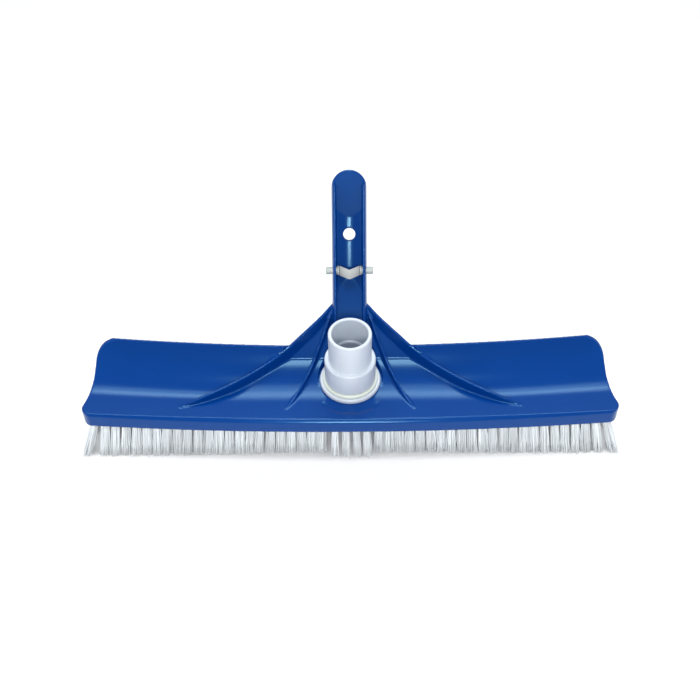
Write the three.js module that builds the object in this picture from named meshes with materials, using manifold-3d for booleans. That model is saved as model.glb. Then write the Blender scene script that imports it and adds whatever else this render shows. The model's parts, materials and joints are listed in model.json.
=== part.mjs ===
// Pool wall brush with a vacuum connector, in millimetres, +Z up, bristle tips on z = 0.
// The broad blue wing carries straight rows of bristles under it, a snap-in pole handle behind
// and a stepped hose connector that swivels in a round seat in the middle.
//
// Every piece is drawn from the lip: x to the right, y back from the middle of the lip's front
// edge, z up from the lip's top face. The group at the end moves the whole brush onto its tips.
import * as THREE from 'three';
import { mergeVertices } from 'three/addons/utils/BufferGeometryUtils.js';
import Module from 'manifold-3d';

const wasm = await Module();
wasm.setup();

// ---------------------------------------------------------------- driving dimensions
const HALF_WIDTH = 201.4; // lip, middle to end
const END_TAPER = 4.6; // how much narrower the wing is at its top edge, each side
const END_EDGE = [[22, 1.2], [28.5, 2.4], [36, 3.2], [46, 4.1], [58, END_TAPER]]; // [y, narrower by]
const LIP_HEIGHT = 12;
const LIP_BOW = 8.7; // the lip's ends are swept back this far
const WING_BOW = 12.9; // and the wing's top edge this far
const LIP_CORNER = 10;
const BEVEL_MIDDLE = 2.2;
const BEVEL_END = 0.8;

const COVE_START = 20; // flat top face before the wing curves up
const COVE_RADIUS = 38.4;
const COVE_ANGLE = 1.19;
const SHEET = 3; // wall of the wing
const SKIRT = 2.5; // wall round the bristle block
const REAR_SKIRT = 53; // back face of the rear skirt
const CORNER_ACROSS = 20; // rounding of the wing's top corners
const CORNER_UP = 15.5;

const FLOOR_RADIUS = 71; // between the outer ribs the floor curves up more gently than the wing
const WEB_FOOT = { y: 57, z: 10.4 }; // the crease where the steep web leaves that floor
const HANDLE_LEAN = Math.PI / 6; // web and handle lean back from upright
const WEB_THICKNESS = 4;
const RIB_THICKNESS = 2.2;
const OUTER_RIB = [ // crest [x, y, z] from its front tip to the handle
  [128, 15.8, 0.2], [112.6, 21.2, 4.8], [90.7, 31.4, 8.8], [76.1, 40.1, 11.3], [61.2, 49.6, 15.4],
  [48.3, 57.4, 21.6], [38.1, 62.1, 29.6], [22.7, 70.1, 41.2], [12.6, 78, 48.6]];
const INNER_RIB = [
  [48.1, 13.3, 0.2], [43.1, 21.8, 1.9], [38.1, 31.4, 4.1], [30.7, 46.3, 10.3], [25.4, 58, 17.8],
  [21.4, 63.5, 27.2], [16.7, 70.3, 38.5], [12.7, 76, 47]];

const HANDLE_FOOT = { y: 82, z: 53.8 }; // a point on the handle's axis
const HANDLE_ABOVE = 93.6; // from that point to the tip
const HANDLE_BELOW = 52;
const HANDLE_RADIUS = 13.2;
const CHANNEL_HALF = 10; // inside of the half pipe
const RIM_FORWARD = 6.7; // the rims stand this far in front of the axis
const FLOOR_DEPTH = 7; // deepest line of the channel's floor, behind the axis
const FLOOR_SAG = 2.4; // and its rise towards the walls
const RAMP_TOP = 1; // these stations are measured down from the tip
const SPOON_END = 5;
const SPOON_NECK = 11.5;
const RAMP_END = 35;
const LOWER_RAMP = 82;
const LOWER_END = 116; // below this the channel's floor is the web itself
const DRAIN_DOWN = 48.3;
const DRAIN_RADIUS = 4.6;
const CLIP_DOWN = 75.1;

const SPIGOT = { y: 41.3, z: 2.7 }; // middle of the connector's flange
const SPIGOT_LEAN = 0.1309; // it leans forward by this angle
const POCKET_RADIUS = 25;
const TURRET_WALL = 3;
const DISH_RADIUS = 34.5;
const DISH_REAR = 37;
const FLANGE_RADIUS = 23.2;
const RING_RADIUS = 21.1;
const STEP_RADIUS = 19.25; // 38 mm hose
const NECK_RADIUS = 16; // 32 mm hose
const STEP_TOP = 26.2;
const NECK_TOP = 53.8;
const BORE_RADIUS = 13.3;
const LEDGE_RADIUS = 12;
const SLEEVE_RADIUS = 15.25;
const SOCKET_BOTTOM = -6.2;

const BLOCK_TOP = -8;
const BLOCK_REAR = 50.2;
const HUMP_RADIUS = 24.4;
const MOUTH = { y: 43, radius: 13 };

const TUFT_ROWS = [13.3, 21.8, 30.3, 38.8, 47.3]; // y of the five straight rows
const TUFT_FIRST = 21.3;
const TUFT_PITCH = 7.8;
const TUFT_COUNT = 23;
const TUFT_DEPTH = 4.4;
const TUFT_ROOT = 4.4;
const TUFT_TIP = 6.4;
const TIP_LEVEL = -48.5;
const TIP_RISE = 3; // the tips are this much higher near the middle
const TUFT_FAN = 1.035; // tips spread outward
const CENTRE_TUFTS = { y: 9.5, count: 4, level: -47.2 };

const GAP = 0.3;
const tuftPlace = (i) => TUFT_FIRST + TUFT_PITCH * i;
const SCREW_TUFT = 6; // the third row leaves this place and its last one free for screws
const SCREWS = [
  { name: 'block_screw_middle', x: 0, y: 19 },
  { name: 'block_screw_left', x: -tuftPlace(SCREW_TUFT), y: TUFT_ROWS[2] },
  { name: 'block_screw_right', x: tuftPlace(SCREW_TUFT), y: TUFT_ROWS[2] },
  { name: 'block_screw_left_end', x: -tuftPlace(TUFT_COUNT - 1), y: TUFT_ROWS[2] },
  { name: 'block_screw_right_end', x: tuftPlace(TUFT_COUNT - 1), y: TUFT_ROWS[2] },
];
const BODY_DEPTH = HANDLE_FOOT.y + HANDLE_ABOVE * Math.sin(HANDLE_LEAN)
  + HANDLE_RADIUS * Math.cos(HANDLE_LEAN); // lip's front edge to the back of the handle's tip

// ---------------------------------------------------------------- materials
const material = (color, roughness, metalness = 0) =>
  new THREE.MeshStandardMaterial({ color, roughness, metalness });
const blue = material(0x1450a8, 0.35);
const blockBlue = material(0x123f86, 0.5);
const bristleWhite = material(0xdfe6ea, 0.6);
const hoseWhite = material(0xdde6f2, 0.3);
const creamRing = material(0xe4e6d6, 0.4);
const clipGrey = material(0xb9b3a4, 0.4);
const buttonWhite = material(0xe8ebee, 0.25);
const rubberBlack = material(0x1c1c1e, 0.8);
const stainless = material(0xb8bcc0, 0.3, 0.9);

// ---------------------------------------------------------------- solids
// The same surface with shared corners merged, slivers dropped and every face turned outward.
function closed(geometry) {
  const plain = geometry.clone();
  for (const key of Object.keys(plain.attributes)) {
    if (key !== 'position') plain.deleteAttribute(key);
  }
  const merged = mergeVertices(plain, 1e-4);
  const triangles = [];
  let volume = 0;
  for (let i = 0; i < merged.index.count; i += 3) {
    const corners = [0, 1, 2].map((k) => merged.index.getX(i + k));
    if (new Set(corners).size < 3) continue;
    triangles.push(...corners);
    const [a, b, c] = corners.map((k) => new THREE.Vector3().fromBufferAttribute(merged.attributes.position, k));
    volume += a.dot(b.cross(c));
  }
  if (volume < 0) triangles.reverse();
  merged.setIndex(triangles);
  merged.computeVertexNormals();
  return merged;
}

function solid(geometry) {
  const skin = closed(geometry);
  return new wasm.Manifold(new wasm.Mesh({
    numProp: 3,
    vertProperties: new Float32Array(skin.attributes.position.array),
    triVerts: new Uint32Array(skin.index.array),
  }));
}

function geometryOf(manifold) {
  const mesh = manifold.getMesh();
  const geometry = new THREE.BufferGeometry();
  geometry.setAttribute('position', new THREE.BufferAttribute(new Float32Array(mesh.vertProperties), 3));
  geometry.setIndex(new THREE.BufferAttribute(new Uint32Array(mesh.triVerts), 1));
  geometry.computeVertexNormals();
  return geometry;
}

function named(name, geometry, look) {
  const mesh = new THREE.Mesh(closed(geometry), look);
  mesh.name = name;
  return mesh;
}

// A closed skin over a row of equal loops, with flat ends.
function loft(loops, endTriangles) {
  const size = loops[0].length;
  const triangles = [];
  for (let i = 0; i + 1 < loops.length; i += 1) {
    for (let j = 0; j < size; j += 1) {
      const k = (j + 1) % size;
      const [a, b, c, d] = [i * size + j, i * size + k, (i + 1) * size + k, (i + 1) * size + j];
      triangles.push(a, b, c, a, c, d);
    }
  }
  const last = (loops.length - 1) * size;
  for (const [a, b, c] of endTriangles) {
    triangles.push(b, a, c, last + a, last + b, last + c);
  }
  const geometry = new THREE.BufferGeometry().setFromPoints(loops.flat());
  geometry.setIndex(triangles);
  return geometry;
}

// A flat outline [[u, v], ...] drawn out along its normal from `from` to `to`.
function prism(outline, from, to, curveSegments = 12) {
  const shape = outline instanceof THREE.Shape
    ? outline : new THREE.Shape(outline.map(([u, v]) => new THREE.Vector2(u, v)));
  const geometry = new THREE.ExtrudeGeometry(shape, { depth: to - from, bevelEnabled: false, curveSegments });
  return geometry.translate(0, 0, from);
}

// The same, for an outline given as [y, z] and drawn out along x.
const alongX = (outline, half) => prism(outline, -half, half).applyMatrix4(
  new THREE.Matrix4().makeBasis(
    new THREE.Vector3(0, 1, 0), new THREE.Vector3(0, 0, 1), new THREE.Vector3(1, 0, 0)));

// And for an outline given as [x, z], drawn out along y.
const alongY = (outline, from, to) => prism(outline, -to, -from).rotateX(Math.PI / 2);

const lathe = (profile, segments) => new THREE.LatheGeometry(
  profile.map(([r, w]) => new THREE.Vector2(r, w)), segments).rotateX(Math.PI / 2);

const onSpigot = (geometry) => geometry.rotateX(SPIGOT_LEAN).translate(0, SPIGOT.y, SPIGOT.z);
const onHandle = (geometry) => geometry.rotateX(-HANDLE_LEAN).translate(0, HANDLE_FOOT.y, HANDLE_FOOT.z);
const post = (radius, from, to, segments = 32) =>
  lathe([[0, from], [radius, from], [radius, to], [0, to]], segments);

// ---------------------------------------------------------------- wing
const lipBow = (x) => LIP_BOW * (x / HALF_WIDTH) ** 2;
const wingBow = (x) => WING_BOW * (x / HALF_WIDTH) ** 2;

// A point [y, z] of the wing's face (radius COVE_RADIUS) or of its underside, at an angle up the cove.
const coveAt = (x, angle, radius) => [
  COVE_START + radius * Math.sin(angle) + lipBow(x)
    + (wingBow(x) - lipBow(x)) * (angle / COVE_ANGLE),
  COVE_RADIUS - radius * Math.cos(angle)];

// The angle up the cove at which that surface reaches a given y.
function coveAngle(x, y, radius) {
  let [low, high] = [0, COVE_ANGLE];
  for (let i = 0; i < 24; i += 1) {
    const middle = (low + high) / 2;
    if (coveAt(x, middle, radius)[0] < y) low = middle;
    else high = middle;
  }
  return low;
}

function wingLoop(x) {
  const front = lipBow(x);
  const bevel = BEVEL_END + (BEVEL_MIDDLE - BEVEL_END) * (1 - (x / HALF_WIDTH) ** 2);
  const steps = 8;
  const loop = [[front, -LIP_HEIGHT], [front, -bevel], [front + bevel, 0]];
  for (let i = 0; i <= steps; i += 1) loop.push(coveAt(x, (COVE_ANGLE * i) / steps, COVE_RADIUS));
  const behind = COVE_RADIUS + SHEET;
  const skirt = coveAngle(x, REAR_SKIRT, behind);
  for (let i = 2; i >= 0; i -= 1) {
    loop.push(coveAt(x, skirt + ((COVE_ANGLE - skirt) * i) / 2, behind));
  }
  loop.push([REAR_SKIRT, -LIP_HEIGHT]);
  return loop;
}

function cavityLoop(x) {
  const front = lipBow(x) + SKIRT;
  const roof = COVE_RADIUS + SHEET;
  const inner = REAR_SKIRT - SKIRT;
  const reach = coveAngle(x, inner, roof);
  const steps = 4;
  const loop = [[front, -LIP_HEIGHT - 1], [front, -SHEET]];
  for (let i = 0; i <= steps; i += 1) loop.push(coveAt(x, (reach * i) / steps, roof));
  loop.push([inner, -LIP_HEIGHT - 1]);
  return loop;
}

function sweepAcross(loopAt, half, steps) {
  const outline = loopAt(0).map(([y, z]) => new THREE.Vector2(y, z));
  const turn = Math.sign(THREE.ShapeUtils.area(outline));
  const ends = THREE.ShapeUtils.triangulateShape(outline, []).map(([a, b, c]) => (
    Math.sign(THREE.ShapeUtils.area([outline[a], outline[b], outline[c]])) === turn ? [a, b, c] : [b, a, c]));
  const loops = [];
  for (let i = 0; i <= steps; i += 1) {
    const x = half * ((2 * i) / steps - 1);
    loops.push(loopAt(x).map(([y, z]) => new THREE.Vector3(x, y, z)));
  }
  return solid(loft(loops, ends));
}

// Plan outline: ends that taper towards the back, with rounded front corners.
function planShape(inset, rear) {
  const half = HALF_WIDTH - inset;
  const corner = LIP_CORNER - inset;
  const front = lipBow(half) + inset;
  const shape = new THREE.Shape();
  shape.moveTo(-half + corner, -20);
  shape.lineTo(half - corner, -20);
  shape.lineTo(half - corner, front - 1.2);
  shape.absellipse(half - corner, front + corner - 1.2, corner, corner, -Math.PI / 2, 0, false);
  END_EDGE.forEach(([y, narrower]) => shape.lineTo(half - narrower, y));
  shape.lineTo(half - END_TAPER, rear);
  shape.lineTo(-half + END_TAPER, rear);
  END_EDGE.toReversed().forEach(([y, narrower]) => shape.lineTo(-half + narrower, y));
  shape.lineTo(-half, front + corner - 1.2);
  shape.absellipse(-half + corner, front + corner - 1.2, corner, corner, Math.PI, 1.5 * Math.PI, false);
  return shape;
}

// Front outline: rounded top corners.
function frontShape() {
  const top = COVE_RADIUS * (1 - Math.cos(COVE_ANGLE));
  const half = HALF_WIDTH - END_TAPER;
  const shape = new THREE.Shape();
  shape.moveTo(-HALF_WIDTH - 1, -30);
  shape.lineTo(HALF_WIDTH + 1, -30);
  shape.lineTo(HALF_WIDTH + 1, 2);
  shape.lineTo(half, top - CORNER_UP);
  shape.absellipse(half - CORNER_ACROSS, top - CORNER_UP, CORNER_ACROSS, CORNER_UP + 0.01,
    0, Math.PI / 2, false);
  shape.lineTo(-half + CORNER_ACROSS, top + 0.01);
  shape.absellipse(-half + CORNER_ACROSS, top - CORNER_UP, CORNER_ACROSS, CORNER_UP + 0.01,
    Math.PI / 2, Math.PI, false);
  shape.lineTo(-HALF_WIDTH - 1, 2);
  return shape;
}

function wing() {
  const rear = REAR_SKIRT + 30;
  const outer = sweepAcross(wingLoop, HALF_WIDTH + 2, 20)
    .intersect(solid(prism(planShape(0, rear), -40, 60, 6)))
    .intersect(solid(alongY(frontShape(), -40, rear + 10, 6)));
  const cavity = sweepAcross(cavityLoop, HALF_WIDTH, 14)
    .intersect(solid(prism(planShape(SKIRT, REAR_SKIRT), -40, 60, 6)))
    .subtract(solid(onSpigot(post(POCKET_RADIUS + TURRET_WALL, -SHEET - GAP, 60))));
  return outer.subtract(cavity);
}

// ---------------------------------------------------------------- floor, web, ribs and turret
// Height of the floor between the outer ribs, and of the web behind it.
function groundAt(y) {
  if (y <= COVE_START) return 0;
  if (y <= WEB_FOOT.y) return FLOOR_RADIUS - Math.sqrt(FLOOR_RADIUS ** 2 - (y - COVE_START) ** 2);
  return WEB_FOOT.z + (y - WEB_FOOT.y) / Math.tan(HANDLE_LEAN);
}

const floorLine = (lower) => Array.from({ length: 11 }, (unused, i) => {
  const y = COVE_START + ((WEB_FOOT.y - COVE_START) * i) / 10;
  return [y, groundAt(y) - lower];
});

const betweenRibs = () => solid(prism([
  ...OUTER_RIB.map(([x, y]) => [x, y]), ...[...OUTER_RIB].reverse().map(([x, y]) => [-x, y])], -20, 120));

// The space in front of the web and above the floor.
const spaceBetween = () => solid(alongX([
  ...floorLine(0), [WEB_FOOT.y + 60, groundAt(WEB_FOOT.y + 60)], [COVE_START, groundAt(WEB_FOOT.y + 60)]], 130))
  .intersect(betweenRibs());

// The floor and the web behind it, as one bent plate.
function sheetBetween() {
  const rise = 24;
  const back = WEB_THICKNESS / Math.cos(HANDLE_LEAN);
  const top = WEB_FOOT.y + rise;
  return solid(alongX([
    [COVE_START - 6, -0.6], ...floorLine(0), [top, groundAt(top)], [top + back, groundAt(top)],
    [WEB_FOOT.y + 3.5, WEB_FOOT.z - 2], ...floorLine(SHEET).reverse(), [COVE_START - 6, -SHEET + 0.4]], 130))
    .intersect(betweenRibs());
}

// Everything behind the rear skirt, the floor and the web.
function behindFront() {
  const inner = REAR_SKIRT - SKIRT;
  const top = WEB_FOOT.y + 60;
  return solid(alongX([
    [inner, -LIP_HEIGHT], [inner, groundAt(inner) - 1], [WEB_FOOT.y, WEB_FOOT.z],
    [top, groundAt(top)], [200, groundAt(top)], [200, -LIP_HEIGHT]], 60));
}

// A thin upright fin under a line of crest points [x, y, z], standing on the floor or the web.
function fin(crest) {
  const loops = crest.map(([x, y, z], i) => {
    const before = crest[Math.max(i - 1, 0)];
    const after = crest[Math.min(i + 1, crest.length - 1)];
    const along = new THREE.Vector2(after[0] - before[0], after[1] - before[1]).normalize();
    const half = (i === 0 ? 0.15 : 0.5) * RIB_THICKNESS;
    const side = new THREE.Vector3(-along.y * half, along.x * half, 0);
    const top = new THREE.Vector3(x, y, z);
    const low = new THREE.Vector3(x, y, groundAt(y) - (y < WEB_FOOT.y - 2 ? 2 : 5));
    return [top.clone().add(side), top.clone().sub(side), low.clone().sub(side), low.clone().add(side)];
  });
  return solid(loft(loops, [[0, 1, 2], [0, 2, 3]]));
}

const mirrored = (crest, sign) => crest.map(([x, y, z]) => [sign * x, y, z]);

const ribs = (sign) => fin(mirrored(OUTER_RIB, sign)).add(fin(mirrored(INNER_RIB, sign)));

function turret() {
  const wall = POCKET_RADIUS + TURRET_WALL;
  return solid(onSpigot(post(wall, -17, 34, 32))).intersect(behindFront());
}

// ---------------------------------------------------------------- handle
function handleShape(radius) {
  const top = HANDLE_ABOVE - HANDLE_RADIUS;
  const shape = new THREE.Shape();
  shape.moveTo(-radius, -HANDLE_BELOW);
  shape.lineTo(radius, -HANDLE_BELOW);
  shape.lineTo(radius, top);
  shape.absellipse(0, top, radius, radius, 0, Math.PI, false);
  return shape;
}

function handle() {
  const barrel = solid(prism([
    ...Array.from({ length: 21 }, (unused, i) => {
      const start = Math.asin(RIM_FORWARD / HANDLE_RADIUS);
      const angle = -start + ((Math.PI + 2 * start) * i) / 20;
      return [HANDLE_RADIUS * Math.cos(angle), HANDLE_RADIUS * Math.sin(angle)];
    })], -HANDLE_BELOW, HANDLE_ABOVE));
  return solid(onHandle(geometryOf(
    barrel.intersect(solid(alongY(handleShape(HANDLE_RADIUS), -30, 30))))));
}

// The hollow of the handle: a spoon-like ramp down from the tip, a deep stretch with a curved
// floor, and a long ramp up to the web.
function channel() {
  const down = (t) => HANDLE_ABOVE - t;
  const sagRadius = (CHANNEL_HALF ** 2 + FLOOR_SAG ** 2) / (2 * FLOOR_SAG);
  const spread = Math.asin(CHANNEL_HALF / sagRadius);
  const curve = Array.from({ length: 11 }, (unused, i) => {
    const angle = Math.PI / 2 - spread + (2 * spread * i) / 10;
    return [sagRadius * Math.cos(angle), FLOOR_DEPTH + sagRadius * (Math.sin(angle) - 1)];
  });
  const tunnel = solid(prism([[-CHANNEL_HALF, -20], [CHANNEL_HALF, -20], ...curve], down(150), down(0)));
  const wide = HANDLE_RADIUS + 3;
  const spoon = solid(alongY([
    [-wide, down(-3)], [wide, down(-3)], [wide, down(SPOON_END)], [CHANNEL_HALF, down(SPOON_NECK)],
    [-CHANNEL_HALF, down(SPOON_NECK)], [-wide, down(SPOON_END)]], -25, 25));
  const ramps = solid(alongX([
    [-25, down(RAMP_TOP)], [-RIM_FORWARD, down(RAMP_TOP)], [FLOOR_DEPTH + 0.1, down(RAMP_END)],
    [FLOOR_DEPTH + 2, down(RAMP_END)], [FLOOR_DEPTH + 2, down(LOWER_RAMP)], [FLOOR_DEPTH, down(LOWER_RAMP)],
    [0, down(LOWER_END)], [0, down(150)], [-25, down(150)]], 20));
  const drain = solid(post(DRAIN_RADIUS, -30, 30, 20).rotateX(Math.PI / 2)
    .translate(0, 0, down(DRAIN_DOWN)));
  const buttonHoles = solid(post(3.3, -20, 20, 16).rotateY(Math.PI / 2)
    .translate(0, 0, down(CLIP_DOWN)));
  return solid(onHandle(geometryOf(tunnel.add(spoon).intersect(ramps).add(drain).add(buttonHoles))));
}

function bodyShell() {
  const pocket = solid(onSpigot(post(POCKET_RADIUS, -GAP, 70, 32)));
  const under = solid(onSpigot(post(POCKET_RADIUS, -40, -SHEET - GAP, 32)));
  const hole = solid(onSpigot(post(18.4, -40, 20, 32)));
  const dish = solid(onSpigot(lathe(
    [[0, -GAP], [24, -GAP], [31, 0.1], [33.6, 0.9], [DISH_RADIUS, 2.2], [DISH_RADIUS, 9], [0, 9]], 40)))
    .intersect(solid(new THREE.BoxGeometry(90, 60, 40).translate(0, DISH_REAR - 30, 0)));
  const below = solid(new THREE.BoxGeometry(600, 400, 60).translate(0, 50, -LIP_HEIGHT - 30));
  let shell = wing().subtract(spaceBetween()).add(sheetBetween());
  shell = shell.add(turret()).add(handle()).add(ribs(-1)).add(ribs(1));
  shell = shell.subtract(pocket).subtract(dish).subtract(under).subtract(hole);
  shell = shell.subtract(channel()).subtract(below);
  for (const { x, y } of SCREWS) {
    const boss = solid(post(3.6, BLOCK_TOP + GAP, -1, 10).translate(x, y, 0));
    const bore = solid(post(2, BLOCK_TOP, -2.6, 8).translate(x, y, 0));
    shell = shell.add(boss.intersect(wingFill())).subtract(bore);
  }
  return shell;
}

// The wing's outline without its cavity, used to keep bosses below its top face.
function wingFill() {
  return sweepAcross(wingLoop, HALF_WIDTH + 2, 20)
    .intersect(solid(prism(planShape(0.5, REAR_SKIRT + 30), -40, 60, 6)));
}

// ---------------------------------------------------------------- bristle block and screws
function bristleBlock() {
  const plate = sweepAcross((x) => [
    [lipBow(x) + SKIRT + GAP, -LIP_HEIGHT], [lipBow(x) + SKIRT + GAP, BLOCK_TOP],
    [BLOCK_REAR, BLOCK_TOP], [BLOCK_REAR, -LIP_HEIGHT]], HALF_WIDTH, 14)
    .intersect(solid(prism(planShape(SKIRT + GAP + 0.2, REAR_SKIRT), -40, 60, 6)));
  const hump = solid(post(HUMP_RADIUS, -LIP_HEIGHT, BLOCK_TOP, 32).translate(0, MOUTH.y - 0.2, 0));
  const mouth = solid(post(MOUTH.radius, -30, 10, 32).translate(0, MOUTH.y, 0));
  let block = plate.add(hump).subtract(mouth);
  for (const { x, y } of SCREWS) {
    block = block.subtract(solid(post(2.2, -30, 10, 8).translate(x, y, 0)));
  }
  return geometryOf(block);
}

function screw({ name, x, y }) {
  const head = -LIP_HEIGHT - GAP;
  const profile = [[0, head - 1.8], [2.2, head - 1.8], [3.2, head - 1], [3.2, head],
    [1.6, head], [1.6, -3.4], [0.6, -2.9], [0, -2.9]];
  return named(name, lathe(profile, 10).translate(x, y, 0), stainless);
}

// ---------------------------------------------------------------- bristles
const tipLevel = (x) => TIP_LEVEL + TIP_RISE * Math.max(0, 1 - Math.abs(x) / 150);

// One row of tufts, held together at the root by the strip that their staples form.
function comb(name, places, y, level) {
  const root = -LIP_HEIGHT - GAP;
  const strip = 1.2;
  const sorted = [...places].sort((a, b) => a - b);
  const outline = [];
  for (const x of sorted) {
    const beyond = Math.max(0, Math.abs(x) - 182) / 11;
    const tip = x * TUFT_FAN + Math.sign(x) * 6 * beyond ** 2;
    const low = level ?? tipLevel(x);
    outline.push([x - TUFT_ROOT / 2, root - strip], [tip - TUFT_TIP / 2, low],
      [tip + TUFT_TIP / 2, low], [x + TUFT_ROOT / 2, root - strip]);
  }
  const first = sorted[0] - TUFT_ROOT / 2;
  const last = sorted[sorted.length - 1] + TUFT_ROOT / 2;
  outline.push([last, root], [first, root]);
  return named(name, alongY(outline, y - TUFT_DEPTH / 2, y + TUFT_DEPTH / 2), bristleWhite);
}

function bristleRows() {
  const rows = [];
  const places = Array.from({ length: TUFT_COUNT }, (unused, i) => tuftPlace(i));
  for (const [side, sign] of [['left', -1], ['right', 1]]) {
    TUFT_ROWS.forEach((y, row) => {
      const label = `bristle_row_${row + 1}_${side}`;
      const at = (list) => list.map((x) => sign * x);
      if (row !== 2) {
        rows.push(comb(label, at(places), y));
        return;
      }
      rows.push(comb(`${label}_inner`, at(places.slice(0, SCREW_TUFT)), y));
      rows.push(comb(`${label}_outer`, at(places.slice(SCREW_TUFT + 1, -1)), y));
    });
  }
  const middle = Array.from({ length: CENTRE_TUFTS.count },
    (unused, i) => TUFT_PITCH * (i - (CENTRE_TUFTS.count - 1) / 2));
  rows.push(comb('bristle_row_1_centre', middle, CENTRE_TUFTS.y, CENTRE_TUFTS.level));
  return rows;
}

// ---------------------------------------------------------------- hose connector
function connector() {
  const flange = lathe([
    [15.6, 0.6], [15.6, 3], [FLANGE_RADIUS - 1, 3], [FLANGE_RADIUS, 2], [FLANGE_RADIUS, 0],
    [18.1, 0], [18.1, SOCKET_BOTTOM], [16.6, SOCKET_BOTTOM], [16.6, -0.4], [15.6, 0.6]], 32);
  const ring = lathe([
    [15.6, 3.3], [15.6, 5.2], [RING_RADIUS - 0.6, 5.2], [RING_RADIUS, 4.6], [RING_RADIUS, 3.3],
    [15.6, 3.3]], 32);
  const cuff = lathe([
    [LEDGE_RADIUS, -7.6], [LEDGE_RADIUS, 30], [BORE_RADIUS, 31.3], [BORE_RADIUS, NECK_TOP - 0.8],
    [BORE_RADIUS + 0.6, NECK_TOP], [NECK_RADIUS - 0.9, NECK_TOP], [NECK_RADIUS, NECK_TOP - 1],
    [NECK_RADIUS, STEP_TOP], [STEP_RADIUS - 1.2, STEP_TOP], [STEP_RADIUS, STEP_TOP - 1.4],
    [STEP_RADIUS, 5.5], [SLEEVE_RADIUS, 5.5], [SLEEVE_RADIUS, -1.9], [14.3, -1.9], [14.3, -5],
    [SLEEVE_RADIUS, -5], [SLEEVE_RADIUS, -6.5], [17.4, -6.5], [16.4, -7.6],
    [LEDGE_RADIUS, -7.6]], 32);
  const seal = lathe(Array.from({ length: 9 }, (unused, i) => [
    15.45 + 0.85 * Math.cos((Math.PI * i) / 4), -3.45 + 0.85 * Math.sin((Math.PI * i) / 4)]), 24);
  return [
    named('socket_flange', onSpigot(flange), hoseWhite),
    named('bearing_ring', onSpigot(ring), creamRing),
    named('swivel_cuff', onSpigot(cuff), hoseWhite),
    named('cuff_o_ring', onSpigot(seal), rubberBlack),
  ];
}

// ---------------------------------------------------------------- snap clip
function button(name, sign) {
  const profile = [[0, 0], [2.4, 0], [2.9, -0.9], [2.9, -9.1], [3.6, -9.1], [3.6, -10.2], [0, -10.2]];
  const geometry = lathe([...profile].reverse(), 16)
    .rotateY((sign * Math.PI) / 2)
    .translate(sign * 18.1, 0, HANDLE_ABOVE - CLIP_DOWN);
  return named(name, onHandle(geometry), buttonWhite);
}

// The V of spring strip between the buttons; its apex reaches forward and droops a little.
function clipSpring() {
  const half = 7.6;
  const thickness = 1.1;
  const forward = -5;
  const outline = [
    [-half, -thickness], [0, forward - thickness], [half, -thickness], [half, 0.6], [half - 0.9, 0.6],
    [0, forward + 0.6], [-half + 0.9, 0.6], [-half, 0.6]];
  const strip = prism(outline, -3.3, 3.3);
  const positions = strip.attributes.position;
  for (let i = 0; i < positions.count; i += 1) {
    const droop = 2 * (1 - Math.abs(positions.getX(i)) / half);
    positions.setZ(i, positions.getZ(i) - droop);
  }
  strip.translate(0, 0, HANDLE_ABOVE - CLIP_DOWN);
  return named('clip_spring', onHandle(strip), clipGrey);
}

// ---------------------------------------------------------------- assembly
const brush = new THREE.Group();
brush.position.set(0, -BODY_DEPTH / 2, -TIP_LEVEL);
brush.add(
  named('body_shell', geometryOf(bodyShell()), blue),
  named('bristle_block', bristleBlock(), blockBlue),
  ...SCREWS.map(screw),
  ...bristleRows(),
  ...connector(),
  clipSpring(),
  button('left_button', -1),
  button('right_button', 1),
);

export default brush;
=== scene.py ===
"""Pool wall brush with a swivelling hose connector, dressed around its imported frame."""
import json
import math

import bmesh
import bpy
import numpy as np
from mathutils import Matrix, Vector


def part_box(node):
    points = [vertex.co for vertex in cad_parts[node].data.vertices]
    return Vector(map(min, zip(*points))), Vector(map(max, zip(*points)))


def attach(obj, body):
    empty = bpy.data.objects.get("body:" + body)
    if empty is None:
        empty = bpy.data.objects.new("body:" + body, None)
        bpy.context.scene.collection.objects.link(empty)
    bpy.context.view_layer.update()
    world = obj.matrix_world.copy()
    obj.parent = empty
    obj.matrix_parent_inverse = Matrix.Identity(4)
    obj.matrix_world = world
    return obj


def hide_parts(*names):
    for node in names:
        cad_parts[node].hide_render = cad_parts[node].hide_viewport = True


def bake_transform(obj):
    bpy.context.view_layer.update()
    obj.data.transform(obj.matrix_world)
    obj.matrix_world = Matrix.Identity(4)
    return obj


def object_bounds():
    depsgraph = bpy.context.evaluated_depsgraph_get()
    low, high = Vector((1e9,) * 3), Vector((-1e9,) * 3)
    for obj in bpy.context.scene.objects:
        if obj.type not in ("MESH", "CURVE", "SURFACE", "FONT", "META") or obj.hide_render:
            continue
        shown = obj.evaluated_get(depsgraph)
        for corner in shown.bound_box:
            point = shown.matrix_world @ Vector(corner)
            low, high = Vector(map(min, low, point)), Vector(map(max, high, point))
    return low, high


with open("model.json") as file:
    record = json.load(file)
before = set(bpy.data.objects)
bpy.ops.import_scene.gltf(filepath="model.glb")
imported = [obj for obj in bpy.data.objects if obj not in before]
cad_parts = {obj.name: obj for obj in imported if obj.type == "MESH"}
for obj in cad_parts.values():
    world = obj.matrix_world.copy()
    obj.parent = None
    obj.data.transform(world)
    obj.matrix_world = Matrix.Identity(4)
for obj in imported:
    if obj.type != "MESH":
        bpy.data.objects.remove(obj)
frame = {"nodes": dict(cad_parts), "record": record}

CAD_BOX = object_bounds()
MM = 0.001

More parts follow.
